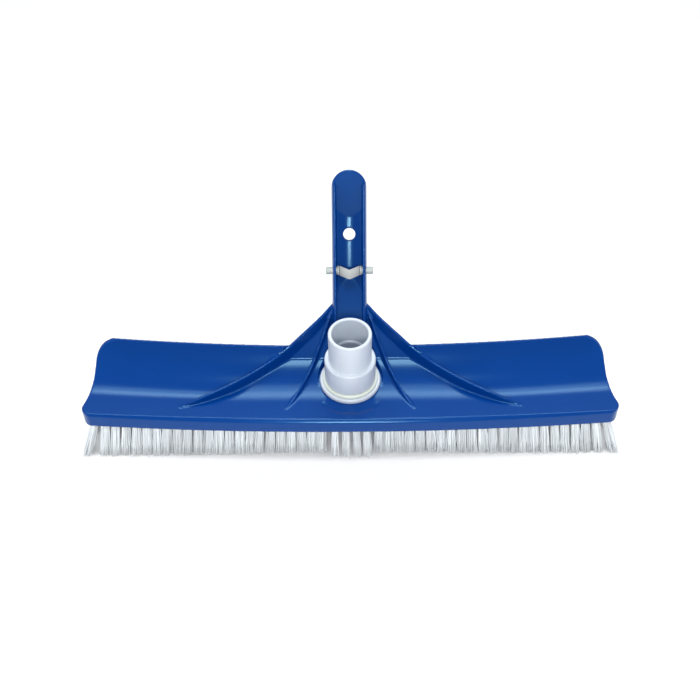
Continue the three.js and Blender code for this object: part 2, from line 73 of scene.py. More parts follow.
# ---------------------------------------------------------------- driving sizes, in millimetres
# Shapes are drawn from the lip: x to the right, y back from the lip's front edge, z up from its top.
HALF_WIDTH = 201.4  # lip, middle to end
END_TAPER = 4.6  # how much narrower the wing is at its top edge, each side
END_EDGE = [(22, 1.2), (28.5, 2.4), (36, 3.2), (46, 4.1), (58, END_TAPER)]  # (y, narrower by)
LIP_HEIGHT = 12.0
LIP_BOW = 8.7  # the lip's ends are swept back this far
WING_BOW = 12.9  # and the wing's top edge this far
LIP_CORNER = 10.0
CORNER_AHEAD = 1.2  # the corner's arc starts this far in front of the lip
LIP_EASE = 0.8
BEVEL_END, BEVEL_MIDDLE = 0.8, 2.2
COVE_START = 20.0  # flat top face before the wing curves up
COVE_RADIUS = 38.4
COVE_ANGLE = 1.19
COVE_STEPS = 36
SHEET = 3.0  # wall of the wing
SKIRT = 2.5  # wall round the bristle block
REAR_SKIRT = 53.0  # back face of the rear skirt
CORNER_ACROSS, CORNER_UP = 20.0, 15.5
FLOOR_RADIUS = 71.0  # between the outer ribs the floor curves up more gently than the wing
WEB_Y, WEB_Z = 57.0, 10.4  # the crease where the steep web leaves that floor
WEB_THICKNESS = 4.0
RIB_THICKNESS = 2.2
RIB_TIP = 0.25  # of that thickness, at the front tip
CREST_STEPS = 6
OUTER_RIB = [  # crest (x, y, z) from its front tip to the handle
    (128, 15.8, 0.2), (112.6, 21.2, 4.8), (90.7, 31.4, 8.8), (76.1, 40.1, 11.3), (61.2, 49.6, 15.4),
    (48.3, 57.4, 21.6), (38.1, 62.1, 29.6), (22.7, 70.1, 41.2), (12.6, 78, 48.6)]
INNER_RIB = [
    (48.1, 13.3, 0.2), (43.1, 21.8, 1.9), (38.1, 31.4, 4.1), (30.7, 46.3, 10.3), (25.4, 58, 17.8),
    (21.4, 63.5, 27.2), (16.7, 70.3, 38.5), (12.7, 76, 47)]
LEAN = math.pi / 6  # web and handle lean back from upright
HANDLE_Y, HANDLE_Z = 82.0, 53.8  # a point on the handle's axis
HANDLE_ABOVE, HANDLE_BELOW = 93.6, 52.0
HANDLE_RADIUS = 13.2
CHANNEL_HALF = 10.0  # inside of the half pipe
RIM_FORWARD = 6.7  # the rims stand this far in front of the axis
FLOOR_DEPTH, FLOOR_SAG = 7.0, 2.4  # the channel's floor behind the axis, and its rise towards the walls
# The next stations are measured down from the tip.
RAMP_TOP, SPOON_END, SPOON_NECK, RAMP_END = 1.0, 5.0, 11.5, 35.0
LOWER_RAMP, LOWER_END = 82.0, 116.0  # below the end, the channel's floor is the web itself
DRAIN_DOWN, DRAIN_RADIUS = 48.3, 4.6
CLIP_DOWN = 75.1
PIN_HOLE_RADIUS = 3.3
SPIGOT_Y, SPIGOT_Z, SPIGOT_LEAN = 41.3, 2.7, 0.1309
POCKET_RADIUS = 25.0
COLLAR = 3.0
SOCKET_HOLE = 18.4
DISH_RADIUS = 34.5
DISH_REAR = 37.0
DISH_FRONT = -13.0
GAP = 0.3
FLANGE_RADIUS = 23.2
RING_RADIUS = 21.1
STEP_RADIUS, STEP_TOP = 19.25, 26.2  # 38 mm hose
NECK_RADIUS, NECK_TOP = 16.0, 53.8  # 32 mm hose
BORE_RADIUS, LEDGE_RADIUS = 13.3, 12.0
SLEEVE_RADIUS = 15.25
SOCKET_BOTTOM = -6.2
BLOCK_TOP, BLOCK_REAR = -8.0, 50.2
HUMP_Y, HUMP_RADIUS = 42.8, 24.4
MOUTH_Y, MOUTH_RADIUS, MOUTH_FLARE = 43.0, 13.0, 1.2
BLOCK_EASE = 0.5
SCREW_HOLE = 2.2
TUFT_ROWS = (13.3, 21.8, 30.3, 38.8, 47.3)  # y of the five straight rows
TUFT_FIRST, TUFT_PITCH, TUFT_COUNT = 21.3, 7.8, 23
SCREW_TUFT = 6  # the third row leaves this place and its last one free for screws
TUFT_FAN = 1.035  # tips spread outward
TIP_LEVEL, TIP_RISE = -48.5, 3.0  # the tips are this much higher near the middle
RISE_REACH = 150.0  # and no higher from here outward
SPLAY_FROM, SPLAY_RUN, SPLAY = 182.0, 11.0, 6.0  # the last tufts lean outward, more and more
ROOT_SPREAD, TIP_SPREAD = (2.9, 2.2), (4.2, 3.2)  # half sizes of a tuft, along the row and across it
CENTRE_Y, CENTRE_LEVEL, CENTRE_WIDTH = 9.5, -47.2, 0.7
CENTRE_LEAN = [-0.2, 0.6, 1.9, 1.4]
GOLDEN_ANGLE = 2.39996

# Cutting shapes reach past what they cut.
FAR_Y = WEB_Y + 60  # behind all of the web
PAST_RIBS = 130  # farther out than the outer ribs reach
PAST_LOW, PAST_HIGH = -40, 60  # below and above the whole wing
THROUGH = 30  # to each side of the handle

SHELL_LOW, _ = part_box("body_shell")
LIP = Vector((0, SHELL_LOW.y, SHELL_LOW.z + LIP_HEIGHT * MM))
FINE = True


# ---------------------------------------------------------------- camera, floor and light
def camera():
    """Looks down on the brush from the front, 42 degrees above level."""
    elevation = math.radians(42)
    roll = math.radians(0.38)
    back = Vector((0, -math.cos(elevation), math.sin(elevation)))
    up = Vector((0, math.sin(elevation), math.cos(elevation)))
    distance, drop = 0.681, 0.0526
    data = bpy.data.cameras.new("camera")
    data.lens = 47.6
    data.sensor_width = 36.0
    data.clip_start, data.clip_end = 0.01, 50
    eye = bpy.data.objects.new("camera", data)
    bpy.context.scene.collection.objects.link(eye)
    eye.matrix_world = (Matrix.Translation(LIP + up * drop + back * distance)
                        @ Matrix.Rotation(math.radians(90) - elevation, 4, "X")
                        @ Matrix.Rotation(-roll, 4, "Z"))
    bpy.context.scene.camera = eye


def lamp(name, place, aim, size, power, colour=(1, 1, 1)):
    """A rectangular lamp of (across, up) metres, turned to face a point."""
    data = bpy.data.lights.new(name, "AREA")
    data.shape = "RECTANGLE"
    data.size, data.size_y = size
    data.energy = power
    data.color = colour
    light = bpy.data.objects.new(name, data)
    bpy.context.scene.collection.objects.link(light)
    light.location = place
    light.rotation_euler = (Vector(aim) - Vector(place)).to_track_quat("-Z", "Y").to_euler()


def studio():
    """A pale sky, a long lamp behind, two small ones above and in front, and a soft one on each side."""
    world = bpy.data.worlds.new("studio")
    world.use_nodes = True
    world.node_tree.nodes["Background"].inputs["Color"].default_value = (0.96, 0.97, 1, 1)
    world.node_tree.nodes["Background"].inputs["Strength"].default_value = 0.5
    bpy.context.scene.world = world
    brush, handle_foot = (0, 0, 0.05), (0, 0, 0.1)
    cool = (0.85, 0.95, 1)
    lamp("back_core", (0, 0.8, 1.4), brush, (1.5, 0.2), 5, cool)
    lamp("back_halo", (0, 0.74, 1.45), brush, (1.5, 0.55), 10, cool)
    lamp("top_small", (0, -0.28, 1.3), brush, (0.45, 0.2), 5)
    lamp("front_small", (0, -1.02, 0.72), handle_foot, (0.22, 0.24), 6)
    for side in (-1, 1):
        lamp("side_soft", (side * 1.6, -0.8, 1.1), brush, (0.9, 0.9), 5)
    bpy.context.scene.view_settings.view_transform = "Standard"


def white_floor():
    """A plain pale floor just under the tips."""
    just_under = -0.0005
    bpy.ops.mesh.primitive_plane_add(size=12, location=(0, 0, just_under))
    floor = bpy.context.object
    floor.name = "floor"
    paint = bpy.data.materials.new("floor_white")
    paint.use_nodes = True
    shader = paint.node_tree.nodes["Principled BSDF"]
    shader.inputs["Base Color"].default_value = (0.93, 0.93, 0.93, 1)
    shader.inputs["Roughness"].default_value = 0.9
    floor.data.materials.append(paint)


# ---------------------------------------------------------------- materials
def noise(paint, where, scale, detail):
    """The value of a noise texture laid in the given coordinates."""
    texture = paint.node_tree.nodes.new("ShaderNodeTexNoise")
    texture.inputs["Scale"].default_value = scale
    texture.inputs["Detail"].default_value = detail
    paint.node_tree.links.new(where.outputs["Object"], texture.inputs["Vector"])
    return texture.outputs["Fac"]


def plastic(name, colour, roughness, shift=0.05, grain=0.00004, tint=(1, 1, 1), sheen=0.5, coat=0.0):
    """Moulded plastic: faint cloudy colour, uneven gloss and a fine surface grain."""
    gloss_shift = 0.12
    paint = bpy.data.materials.new(name)
    paint.use_nodes = True
    nodes, links = paint.node_tree.nodes, paint.node_tree.links
    shader = nodes["Principled BSDF"]
    where = nodes.new("ShaderNodeTexCoord")
    cloud = noise(paint, where, 30.0, 4.0)
    tones = nodes.new("ShaderNodeMix")
    tones.data_type = "RGBA"
    tones.inputs["A"].default_value = (*[c * (1 - shift) for c in colour], 1)
    tones.inputs["B"].default_value = (*[min(1, c * (1 + shift)) for c in colour], 1)
    links.new(cloud, tones.inputs["Factor"])
    links.new(tones.outputs["Result"], shader.inputs["Base Color"])
    gloss = nodes.new("ShaderNodeMapRange")
    gloss.inputs["To Min"].default_value = roughness * (1 - gloss_shift)
    gloss.inputs["To Max"].default_value = roughness * (1 + gloss_shift)
    links.new(cloud, gloss.inputs["Value"])
    links.new(gloss.outputs["Result"], shader.inputs["Roughness"])
    bump = nodes.new("ShaderNodeBump")
    bump.inputs["Strength"].default_value = 0.5
    bump.inputs["Distance"].default_value = grain
    links.new(noise(paint, where, 900.0, 2.0), bump.inputs["Height"])
    links.new(bump.outputs["Normal"], shader.inputs["Normal"])
    shader.inputs["Specular Tint"].default_value = (*tint, 1)
    shader.inputs["Specular IOR Level"].default_value = sheen
    shader.inputs["Coat Weight"].default_value = coat
    shader.inputs["Coat Roughness"].default_value = 0.12
    return paint


def nylon():
    """Whitish filaments, each a little lighter or darker than the next."""
    paint = plastic("bristle_nylon", (0.91, 0.95, 0.97), 0.45, shift=0.03, grain=0.00001)
    nodes, links = paint.node_tree.nodes, paint.node_tree.links
    shader = nodes["Principled BSDF"]
    tone = nodes.new("ShaderNodeAttribute")
    tone.attribute_name = "tone"
    mixed = shader.inputs["Base Color"].links[0].from_socket
    scale = nodes.new("ShaderNodeVectorMath")
    scale.operation = "SCALE"
    links.new(mixed, scale.inputs[0])
    links.new(tone.outputs["Fac"], scale.inputs["Scale"])
    links.new(scale.outputs["Vector"], shader.inputs["Base Color"])
    return paint


# ---------------------------------------------------------------- drawing shapes
def mesh_object(name, points, faces):
    """A mesh with points closer than the weld distance joined and all its faces turned outward."""
    weld = 1e-5
    mesh = bpy.data.meshes.new(name)
    mesh.from_pydata([tuple(p) for p in points], [], faces)
    shape = bmesh.new()
    shape.from_mesh(mesh)
    bmesh.ops.remove_doubles(shape, verts=shape.verts, dist=weld)
    bmesh.ops.recalc_face_normals(shape, faces=shape.faces)
    shape.to_mesh(mesh)
    shape.free()
    thing = bpy.data.objects.new(name, mesh)
    bpy.context.scene.collection.objects.link(thing)
    return thing


def loft(name, loops, ends=True):
    """A skin over a row of equal closed loops of points, with flat ends."""
    size = len(loops[0])
    faces = []
    for i in range(len(loops) - 1):
        for j in range(size):
            k = (j + 1) % size
            faces.append((i * size + j, i * size + k, (i + 1) * size + k, (i + 1) * size + j))
    if ends:
        faces.append(tuple(reversed(range(size))))
        faces.append(tuple((len(loops) - 1) * size + j for j in range(size)))
    return mesh_object(name, [p for loop in loops for p in loop], faces)


def prism_x(name, outline, half):
    """A prism along x from -half to half over an outline of (y, z)."""
    return loft(name, [[(x, y, z) for y, z in outline] for x in (-half, half)])


def prism_y(name, outline, start, end):
    """A prism along y over an outline of (x, z)."""
    return loft(name, [[(x, y, z) for x, z in outline] for y in (start, end)])


def prism_z(name, outline, start, end):
    """A prism along z over an outline of (x, y)."""
    return loft(name, [[(x, y, z) for x, y in outline] for z in (start, end)])


def arc(centre, radius, start, end, steps):
    """Points along an arc; radius may be (across, up)."""
    across, up = radius if isinstance(radius, tuple) else (radius, radius)
    return [(centre[0] + across * math.cos(start + (end - start) * i / steps),
             centre[1] + up * math.sin(start + (end - start) * i / steps)) for i in range(steps + 1)]


def rounded(corners, steps=5):
    """An outline whose corners (u, v, radius) are rounded; the first and last stay where they are."""
    share, sharp = 0.49, 1e-4  # most of a side that one rounding takes, and the least radius worth rounding
    outline = [corners[0][:2]]
    for before, here, after in zip(corners, corners[1:], corners[2:]):
        point = Vector(here[:2])
        into = point - Vector(before[:2])
        out = Vector(after[:2]) - point
        radius = min(here[2], into.length * share, out.length * share)
        if radius < sharp:
            outline.append(tuple(point))
            continue
        start = point - into.normalized() * radius
        end = point + out.normalized() * radius
        for i in range(steps + 1):
            t = i / steps
            outline.append(tuple(start * (1 - t) ** 2 + point * 2 * t * (1 - t) + end * t ** 2))
    outline.append(corners[-1][:2])
    return outline


def lathe(name, profile, steps=96):
    """A turned shape about z from a profile of (radius, height); it closes on the axis or on itself."""
    turns = [2 * math.pi * i / steps for i in range(steps)]
    loops = [[(r * math.cos(turn), r * math.sin(turn), height) for turn in turns] for r, height in profile]
    on_axis = profile[0][0] == 0
    if not on_axis:
        loops.append(loops[0])
    return loft(name, loops, ends=False)


def post(name, radius, start, end, steps=96):
    """A round bar about z."""
    return lathe(name, [(0, start), (radius, start), (radius, end), (0, end)], steps)


def turned(thing, matrix):
    """Moves a piece's points by a matrix."""
    thing.data.transform(matrix)
    return thing


# From a piece's own axes to the lip's, and from there to metres in the shared frame.
ON_SPIGOT = Matrix.Translation((0, SPIGOT_Y, SPIGOT_Z)) @ Matrix.Rotation(SPIGOT_LEAN, 4, "X")
ON_HANDLE = Matrix.Translation((0, HANDLE_Y, HANDLE_Z)) @ Matrix.Rotation(-LEAN, 4, "X")
TO_WORLD = Matrix.Translation(LIP) @ Matrix.Scale(MM, 4)


def carve(base, steps):
    """Joins ('+'), cuts ('-') or keeps ('&') one solid after another, and returns the result."""
    words = {"+": "UNION", "-": "DIFFERENCE", "&": "INTERSECT"}
    for sign, tool in steps:
        change = base.modifiers.new("cut", "BOOLEAN")
        change.operation = words[sign]
        change.solver = "MANIFOLD"
        change.object = tool
    settle(base)
    for _, tool in steps:
        bpy.data.objects.remove(tool)
    return base


def settle(thing):
    """Applies every modifier."""
    bpy.context.view_layer.update()
    done = thing.evaluated_get(bpy.context.evaluated_depsgraph_get())
    mesh = bpy.data.meshes.new_from_object(done)
    thing.modifiers.clear()
    old = thing.data
    thing.data = mesh
    bpy.data.meshes.remove(old)


def smooth(thing, sharp=None):
    """Shades a piece smoothly, except across edges sharper than the given angle."""
    for face in thing.data.polygons:
        face.use_smooth = True
    if sharp is not None:
        thing.data.set_sharp_from_angle(angle=math.radians(sharp))
    return thing


def dress(thing, body, slot, replaced):
    """Gives a piece its slot's paint, its body, and the nodes that it replaces."""
    thing.data.materials.clear()
    thing.data.materials.append(PAINTS[slot])
    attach(thing, body)
    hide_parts(*replaced)


# ---------------------------------------------------------------- the blue moulding
def lip_bow(x):
    return LIP_BOW * (x / HALF_WIDTH) ** 2


def wing_bow(x):
    return WING_BOW * (x / HALF_WIDTH) ** 2


def cove_at(x, angle, radius):
    """A point (y, z) of the wing's curve: its front face, or its back face for the larger radius."""
    return (COVE_START + radius * math.sin(angle) + lip_bow(x)
            + (wing_bow(x) - lip_bow(x)) * angle / COVE_ANGLE,
            COVE_RADIUS - radius * math.cos(angle))


def cove_angle(x, y, radius):
    """The angle at which that curve reaches y, by halving the interval."""
    low, high = 0.0, COVE_ANGLE
    for _ in range(24):
        middle = (low + high) / 2
        if cove_at(x, middle, radius)[0] < y:
            low = middle
        else:
            high = middle
    return low


def wing_loop(x):
    """Section (y, z) of the lip and wing: up the front, along the curve, down its back and the skirt."""
    front = lip_bow(x)
    bevel = BEVEL_END + (BEVEL_MIDDLE - BEVEL_END) * (1 - (x / HALF_WIDTH) ** 2)
    lead, cut = 0.5, 0.15  # the bevel's two edges are eased by these
    near = LIP_EASE / 4
    loop = [(front + LIP_EASE, -LIP_HEIGHT), (front + near, -LIP_HEIGHT + near),
            (front, -LIP_HEIGHT + LIP_EASE)]
    loop += [(front, -bevel - lead), (front + cut, -bevel)]
    loop += [(front + bevel, -cut), (front + bevel + lead, 0)]
    loop += [cove_at(x, COVE_ANGLE * i / COVE_STEPS, COVE_RADIUS) for i in range(COVE_STEPS + 1)]
    behind = COVE_RADIUS + SHEET
    skirt = cove_angle(x, REAR_SKIRT, behind)
    steps = 8
    loop += [cove_at(x, skirt + (COVE_ANGLE - skirt) * i / steps, behind) for i in range(steps, -1, -1)]
    loop += [(REAR_SKIRT, -LIP_HEIGHT)]
    return loop


def cavity_loop(x):
    """Section (y, z) of the hollow under the wing, open at the bottom."""
    steps = 12
    front = lip_bow(x) + SKIRT
    inner = REAR_SKIRT - SKIRT
    roof = COVE_RADIUS + SHEET
    reach = cove_angle(x, inner, roof)
    loop = [(front, -LIP_HEIGHT - 1), (front, -SHEET)]
    loop += [cove_at(x, reach * i / steps, roof) for i in range(steps + 1)]
    loop += [(inner, -LIP_HEIGHT - 1)]
    return loop


def across(name, loop_at, half, steps):
    """A skin from -half to half along x over sections that change with x."""
    stations = [half * (2 * i / steps - 1) for i in range(steps + 1)]
    return loft(name, [[(x, y, z) for y, z in loop_at(x)] for x in stations])


def plan_outline(inset, rear):
    """The brush from above, moved in by the inset; in front it reaches past the lip."""
    half = HALF_WIDTH - inset
    corner = LIP_CORNER - inset
    front = lip_bow(half) + inset - CORNER_AHEAD
    ahead, steps = -20, 20
    taper = smooth_path([(0, front + corner)] + [(narrower, y) for y, narrower in END_EDGE], CREST_STEPS)
    edge = [(half - p.x, p.y) for p in taper[1:]]
    return ([(-half + corner, ahead), (half - corner, ahead)]
            + arc((half - corner, front + corner), corner, -math.pi / 2, 0, steps)
            + edge + [(half - END_TAPER, rear), (-half + END_TAPER, rear)]
            + [(-x, y) for x, y in reversed(edge)]
            + arc((-half + corner, front + corner), corner, math.pi, 1.5 * math.pi, steps))


def front_outline():
    """The brush from the front, with the wing's rounded top corners."""
    top = COVE_RADIUS * (1 - math.cos(COVE_ANGLE)) + 0.01  # a hair above the wing's top edge
    half, outside = HALF_WIDTH - END_TAPER, HALF_WIDTH + 1
    below, waist, steps = -30, 2, 24
    knee = top - CORNER_UP
    reach = (CORNER_ACROSS, CORNER_UP)
    return ([(-outside, below), (outside, below), (outside, waist)]
            + arc((half - CORNER_ACROSS, knee), reach, 0, math.pi / 2, steps)
            + arc((-half + CORNER_ACROSS, knee), reach, math.pi / 2, math.pi, steps)
            + [(-outside, waist)])


def smooth_path(points, steps):
    """More points along a line through the given ones, by a Catmull-Rom curve."""
    p = [Vector(q) for q in points]
    p = [p[0] * 2 - p[1]] + p + [p[-1] * 2 - p[-2]]
    path = []
    for a, b, c, d in zip(p, p[1:], p[2:], p[3:]):
        for i in range(steps):
            t = i / steps
            path.append(0.5 * (2 * b + (c - a) * t + (2 * a - 5 * b + 4 * c - d) * t ** 2
                               + (3 * b - a - 3 * c + d) * t ** 3))
    path.append(p[-2])
    return path


def ground_at(y):
    """Height of the floor between the outer ribs, and of the web behind it."""
    if y <= COVE_START:
        return 0.0
    if y <= WEB_Y:
        return FLOOR_RADIUS - math.sqrt(FLOOR_RADIUS ** 2 - (y - COVE_START) ** 2)
    return WEB_Z + (y - WEB_Y) / math.tan(LEAN)


def floor_line(lower):
    """Points (y, z) along that floor, or a given depth under it."""
    steps = 40
    line = [COVE_START + (WEB_Y - COVE_START) * i / steps for i in range(steps + 1)]
    return [(y, ground_at(y) - lower) for y in line]


def between_ribs():
    """Everything between the two outer ribs, seen from above."""
    crest = [(p.x, p.y) for p in smooth_path(OUTER_RIB, CREST_STEPS)]
    return prism_z("between_ribs", crest + [(-x, y) for x, y in reversed(crest)], -20, 120)


def space_between():
    """The space in front of the web and above the floor."""
    outline = floor_line(0) + [(FAR_Y, ground_at(FAR_Y)), (COVE_START, ground_at(FAR_Y))]
    return carve(prism_x("space", outline, PAST_RIBS), [("&", between_ribs())])


def sheet_between():
    """The floor and the web behind it, as one bent plate."""
    top = WEB_Y + 24
    back = WEB_THICKNESS / math.cos(LEAN)
    front, sunk = COVE_START - 6, 0.6  # it starts inside the lip, just under its top face
    heel = (WEB_Y + 3.5, WEB_Z - 2)
    outline = [(front, -sunk), *floor_line(0), (top, ground_at(top)), (top + back, ground_at(top)),
               heel, *reversed(floor_line(SHEET)), (front, 0.4 - SHEET)]
    return carve(prism_x("sheet", outline, PAST_RIBS), [("&", between_ribs())])


def sideways(path, i):
    """The level direction square to a path at its point i."""
    run = path[min(i + 1, len(path) - 1)] - path[max(i - 1, 0)]
    return Vector((-run.y, run.x, 0)).normalized()


def fin(name, crest):
    """A thin upright fin under a crest line, standing on the floor or the web."""
    crest = smooth_path(crest, CREST_STEPS)
    grow = 8  # steps over which it takes on its full thickness
    loops = []
    for i, top in enumerate(crest):
        half = RIB_THICKNESS / 2 * min(1, RIB_TIP + i / grow)
        side = sideways(crest, i) * half
        sunk = 2 if top.y < WEB_Y - 2 else 5
        low = Vector((top.x, top.y, ground_at(top.y) - sunk))
        loops.append([top + side, top - side, low - side, low + side])
    return loft(name, loops)


def ribs(sign):
    return [fin("rib", [(sign * x, y, z) for x, y, z in crest]) for crest in (OUTER_RIB, INNER_RIB)]


def behind_front():
    """The space behind the rear skirt and the web."""
    inner = REAR_SKIRT - SKIRT
    outside, half = 200, 60
    return prism_x("behind", [
        (inner, -LIP_HEIGHT), (inner, ground_at(inner) - 1), (WEB_Y, WEB_Z), (FAR_Y, ground_at(FAR_Y)),
        (outside, ground_at(FAR_Y)), (outside, -LIP_HEIGHT)], half)


def handle():
    """The half pipe with its round tip."""
    top = HANDLE_ABOVE - HANDLE_RADIUS
    outline = [(-HANDLE_RADIUS, -HANDLE_BELOW), (HANDLE_RADIUS, -HANDLE_BELOW)]
    outline += arc((0, top), HANDLE_RADIUS, 0, math.pi, 32)
    start = math.asin(RIM_FORWARD / HANDLE_RADIUS)
    section = arc((0, 0), HANDLE_RADIUS, -start, math.pi + start, 64)
    barrel = prism_z("handle", section, -HANDLE_BELOW, HANDLE_ABOVE)
    carve(barrel, [("&", prism_y("end", outline, -THROUGH, THROUGH))])
    return turned(barrel, ON_HANDLE)


def channel():
    """The hollow of the handle: a spoon-like ramp down, a deep stretch, and a long ramp up to the web."""
    def down(t):
        return HANDLE_ABOVE - t

    open_front, foot = 25, 150
    below_floor = FLOOR_DEPTH + 2
    sag_radius = (CHANNEL_HALF ** 2 + FLOOR_SAG ** 2) / (2 * FLOOR_SAG)
    spread = math.asin(CHANNEL_HALF / sag_radius)
    floor = arc((0, FLOOR_DEPTH - sag_radius), sag_radius, math.pi / 2 - spread, math.pi / 2 + spread, 24)
    tunnel = prism_z("channel", [(-CHANNEL_HALF, -20), (CHANNEL_HALF, -20)] + floor,
                     down(foot), down(0))
    wide = HANDLE_RADIUS + 3
    spoon = prism_y("spoon", [
        (-wide, down(-3)), (wide, down(-3)), (wide, down(SPOON_END)), (CHANNEL_HALF, down(SPOON_NECK)),
        (-CHANNEL_HALF, down(SPOON_NECK)), (-wide, down(SPOON_END))], -open_front, open_front)
    ramps = prism_x("ramps", [
        (-open_front, down(RAMP_TOP)), (-RIM_FORWARD, down(RAMP_TOP)), (FLOOR_DEPTH + 0.1, down(RAMP_END)),
        (below_floor, down(RAMP_END)), (below_floor, down(LOWER_RAMP)), (FLOOR_DEPTH, down(LOWER_RAMP)),
        (0, down(LOWER_END)), (0, down(foot)), (-open_front, down(foot))], 20)
    drain = turned(post("drain", DRAIN_RADIUS, -THROUGH, THROUGH, 48), Matrix.Translation(
        (0, 0, down(DRAIN_DOWN))) @ Matrix.Rotation(math.pi / 2, 4, "X"))
    holes = turned(post("holes", PIN_HOLE_RADIUS, -20, 20, 32), Matrix.Translation(
        (0, 0, down(CLIP_DOWN))) @ Matrix.Rotation(math.pi / 2, 4, "Y"))
    return turned(carve(tunnel, [("+", spoon), ("&", ramps), ("+", drain), ("+", holes)]), ON_HANDLE)


def cavity():
    """The hollow under the wing, less the collar round the socket."""
    hollow = across("cavity", cavity_loop, HALF_WIDTH, 100)
    inside = prism_z("inside", plan_outline(SKIRT, REAR_SKIRT), PAST_LOW, PAST_HIGH)
    collar = turned(post("collar", POCKET_RADIUS + COLLAR, -SHEET - GAP, PAST_HIGH), ON_SPIGOT)
    return carve(hollow, [("&", inside), ("-", collar)])


def turret():
    """The round bulge behind the skirt and web that makes room for the connector's pocket."""
    wall = turned(post("turret", POCKET_RADIUS + COLLAR, -17, 34), ON_SPIGOT)
    return carve(wall, [("&", behind_front())])


def dish():
    """The shallow dish in which the connector's flange lies."""
    high, half = 20, 45
    bowl = lathe("dish", [
        (0, -GAP), (24, -GAP), (31, 0.1), (33.6, 0.9), (DISH_RADIUS, 2.2), (DISH_RADIUS, 9), (0, 9)])
    ahead = prism_x("ahead", [
        (DISH_FRONT, -high), (DISH_REAR, -high), (DISH_REAR, high), (DISH_FRONT, high)], half)
    return carve(turned(bowl, ON_SPIGOT), [("&", ahead)])


def whole_shell():
    """The wing, web, ribs, turret and handle in one, with sharp edges."""
    rear = REAR_SKIRT + 30
    shell = across("body_moulding", wing_loop, HALF_WIDTH + 2, 200)
    return carve(shell, [
        ("&", prism_z("plan", plan_outline(0, rear), PAST_LOW, PAST_HIGH)),
        ("&", prism_y("front", front_outline(), -40, rear + 10)),
        ("-", cavity()), ("-", space_between()), ("+", sheet_between()), ("+", turret()), ("+", handle()),
        *[("+", rib) for sign in (-1, 1) for rib in ribs(sign)],
        ("-", turned(post("pocket", POCKET_RADIUS, -GAP, 70), ON_SPIGOT)),
        ("-", dish()),
        ("-", turned(post("under", POCKET_RADIUS, PAST_LOW, -SHEET - GAP), ON_SPIGOT)),
        ("-", turned(post("hole", SOCKET_HOLE, PAST_LOW, 20), ON_SPIGOT)),
        ("-", channel()),
        ("-", prism_z("below", [(-300, -50), (300, -50), (300, 200), (-300, 200)], -60, -LIP_HEIGHT)),
    ])


def moulding():
    """The whole shell with its edges softened."""
    shell = whole_shell()
    melt = shell.modifiers.new("melt", "REMESH")
    melt.mode = "VOXEL"
    melt.voxel_size = 0.5 if FINE else 0.8
    settle(shell)
    ease = shell.modifiers.new("ease", "SMOOTH")
    ease.factor = 0.5
    ease.iterations = 8 if FINE else 4
    if FINE:
        thin = shell.modifiers.new("thin", "DECIMATE")
        thin.ratio = 0.5
    settle(shell)
    turned(shell, TO_WORLD)
    return smooth(shell)


# ---------------------------------------------------------------- bristle block and screws
def tuft_place(i):
    """How far the tuft number i of a row stands from the middle."""
    return TUFT_FIRST + TUFT_PITCH * i


SCREWS = {
    "block_screw_middle": (0, 19),
    "block_screw_left": (-tuft_place(SCREW_TUFT), TUFT_ROWS[2]),
    "block_screw_right": (tuft_place(SCREW_TUFT), TUFT_ROWS[2]),
    "block_screw_left_end": (-tuft_place(TUFT_COUNT - 1), TUFT_ROWS[2]),
    "block_screw_right_end": (tuft_place(TUFT_COUNT - 1), TUFT_ROWS[2])}


def block_section(x):
    """Section (y, z) of the plate, with its lower edges eased."""
    front = lip_bow(x) + SKIRT + GAP
    eased = -LIP_HEIGHT + BLOCK_EASE
    return [(front + BLOCK_EASE, -LIP_HEIGHT), (front, eased), (front, BLOCK_TOP), (BLOCK_REAR, BLOCK_TOP),
            (BLOCK_REAR, eased), (BLOCK_REAR - BLOCK_EASE, -LIP_HEIGHT)]


def block():
    """The tufted plate with its round hump behind, the suction mouth and the screw holes."""
    hump = lathe("hump", [
        (0, -LIP_HEIGHT), (HUMP_RADIUS - BLOCK_EASE, -LIP_HEIGHT), (HUMP_RADIUS, -LIP_HEIGHT + BLOCK_EASE),
        (HUMP_RADIUS, BLOCK_TOP), (0, BLOCK_TOP)])
    wide = MOUTH_RADIUS + MOUTH_FLARE
    mouth = lathe("mouth", [
        (0, -20), (wide, -20), (wide, -LIP_HEIGHT), (MOUTH_RADIUS, -LIP_HEIGHT + MOUTH_FLARE),
        (MOUTH_RADIUS, 0), (0, 0)])
    plate = across("tufted_block", block_section, HALF_WIDTH, 100)
    carve(plate, [
        ("&", prism_z("plan", plan_outline(SKIRT + GAP + 0.2, REAR_SKIRT), PAST_LOW, PAST_HIGH)),
        ("+", turned(hump, Matrix.Translation((0, HUMP_Y, 0)))),
        ("-", turned(mouth, Matrix.Translation((0, MOUTH_Y, 0)))),
        *[("-", turned(post("hole", SCREW_HOLE, -30, 10, 24), Matrix.Translation((x, y, 0))))
          for x, y in SCREWS.values()]])
    turned(plate, TO_WORLD)
    return smooth(plate, 35)


def screw(name, x, y):
    """A pan-head screw with a cross recess, its head down."""
    low = -LIP_HEIGHT - GAP
    head, head_height, shank, tip = 3.2, 1.8, 1.6, -2.9
    recess, recess_half, skew = 1.7, 0.35, 0.4
    profile = rounded([
        (0, low - head_height, 0), (0.75 * head, low - head_height, 0.8),
        (head, low - head_height / 2, 0.8), (head, low, 0.15),
        (shank, low, 0.1), (shank, tip - 0.5, 0.3), (0.6, tip, 0.1), (0, tip, 0)])
    body = lathe(name, profile, 40)
    for turn in (0, math.pi / 2):
        slot = prism_z("slot", [(-recess, -recess_half), (recess, -recess_half), (recess, recess_half),
                                (-recess, recess_half)], low - 3, low - head_height / 2)
        carve(body, [("-", turned(slot, Matrix.Rotation(turn + skew, 4, "Z")))])
    return smooth(turned(turned(body, Matrix.Translation((x, y, 0))), TO_WORLD), 35)


